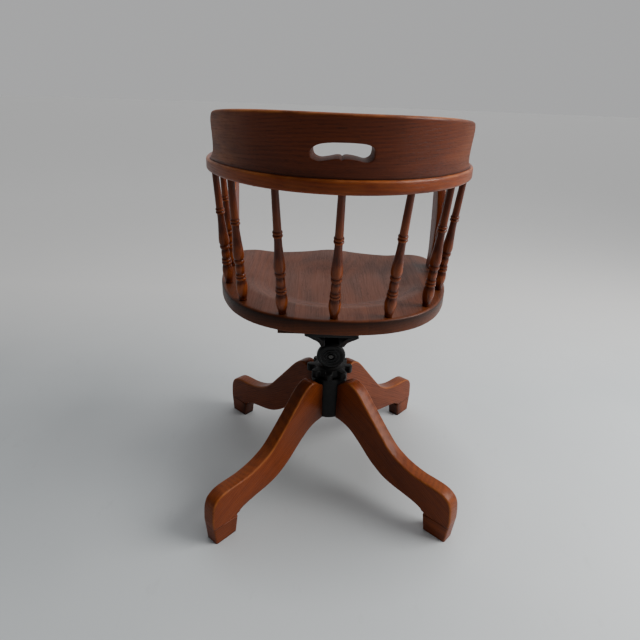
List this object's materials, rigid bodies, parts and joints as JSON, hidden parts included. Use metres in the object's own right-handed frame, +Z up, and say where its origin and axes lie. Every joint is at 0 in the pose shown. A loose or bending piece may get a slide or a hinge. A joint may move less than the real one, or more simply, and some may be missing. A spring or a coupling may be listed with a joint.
{
  "type": "swivel chair",
  "caption": "Oak bankers swivel chair: bent arm bow on turned spindles, crest rail with a hand slot, dished seat, sprung iron tilt and a screw column on splayed curved legs.",
  "frame": {"origin": "on the floor, under the middle of the whole chair's box", "axes": "+Z up, -Y the way the sitter faces, +X the sitter's left"},
  "size_m": [0.5404, 0.5708, 0.8256],
  "materials": {
    "oak_dark": "dark brown oak, worn satin varnish",
    "oak_seat": "reddish brown oak, satin varnish, grain front to back",
    "oak_leg": "orange brown oak, glossy varnish, worn lighter on top",
    "oak_raw": "dull unvarnished oak",
    "iron": "black japanned casting, satin",
    "steel": "dull oiled steel"
  },
  "bodies": {
    "base": {"leg_rear_left": "oak_leg", "leg_rear_right": "oak_leg", "leg_front_right": "oak_leg", "leg_front_left": "oak_leg", "foot_block_rear_left": "oak_leg", "foot_block_rear_right": "oak_leg", "foot_block_front_right": "oak_leg", "foot_block_front_left": "oak_leg", "leg_bolt_rear_left_lower": "steel", "leg_bolt_rear_left_upper": "steel", "leg_bolt_rear_right_lower": "steel", "leg_bolt_rear_right_upper": "steel", "leg_bolt_front_right_lower": "steel", "leg_bolt_front_right_upper": "steel", "leg_bolt_front_left_lower": "steel", "leg_bolt_front_left_upper": "steel", "hub": "iron", "screw_key": "steel", "thrust_washer": "steel"},
    "column": {"screw_column": "steel", "stop_collar": "iron", "collar_pin": "steel"},
    "star_wheel": {"star_wheel": "iron"},
    "yoke": {"tilt_yoke": "iron", "spring_washer": "steel", "tension_spring": "steel"},
    "seat": {"seat_bracket": "iron", "plate_screw_1": "steel", "plate_screw_2": "steel", "plate_screw_3": "steel", "plate_screw_4": "steel", "batten_screw_1": "steel", "batten_screw_2": "steel", "batten_screw_3": "steel", "batten_screw_4": "steel", "batten_rear": "oak_raw", "batten_front": "oak_raw", "tilt_pin": "steel", "tilt_pin_collar": "iron", "seat": "oak_seat", "spindle_centre": "oak_dark", "spindle_rear_left": "oak_dark", "spindle_rear_right": "oak_dark", "spindle_quarter_left": "oak_dark", "spindle_quarter_right": "oak_dark", "spindle_side_left": "oak_dark", "spindle_side_right": "oak_dark", "spindle_front_left": "oak_dark", "spindle_front_right": "oak_dark", "arm_support_left": "oak_dark", "arm_support_right": "oak_dark", "arm_bow": "oak_dark", "crest_rail": "oak_dark", "crest_screw_1": "steel", "crest_screw_2": "steel"},
    "tension_knob": {"tension_knob": "iron", "tension_bolt": "steel"},
    "tension_nut": {"square_nut": "iron"}
  },
  "joints": [
    {"name": "height", "type": "slide", "parent": "base", "child": "column", "axis": [0, 0, 1], "range_m": [0, 0.066]},
    {"name": "wheel_turn", "type": "hinge", "parent": "base", "child": "star_wheel", "pos_m": [0, -0.01521, 0.2736], "axis": [0, 0, 1], "range_deg": [-3961, 0]},
    {"name": "swivel", "type": "hinge", "parent": "column", "child": "yoke", "pos_m": [0, -0.01521, 0.288], "axis": [0, 0, 1], "continuous": true},
    {"name": "tilt", "type": "hinge", "parent": "yoke", "child": "seat", "pos_m": [0, -0.01521, 0.316], "axis": [-1, 0, 0], "range_deg": [0, 14], "stiffness_Nm_per_rad": 60, "springref_deg": -17.19, "deforming": ["tension_spring"]},
    {"name": "knob_turn", "type": "hinge", "parent": "seat", "child": "tension_knob", "pos_m": [0, -0.00949, 0.3429], "axis": [0, 0.9781, -0.2079], "range_deg": [-1440, 0]},
    {"name": "nut_travel", "type": "slide", "parent": "seat", "child": "tension_nut", "axis": [0, 0.9781, -0.2079], "range_m": [0, 0.00801], "deforming": ["tension_spring"]}
  ],
  "couplings": [
    {"joint": "wheel_turn", "follows": "height", "rad_per_m": -1047.2},
    {"joint": "nut_travel", "follows": "knob_turn", "m_per_rad": -0.00031831}
  ]
}
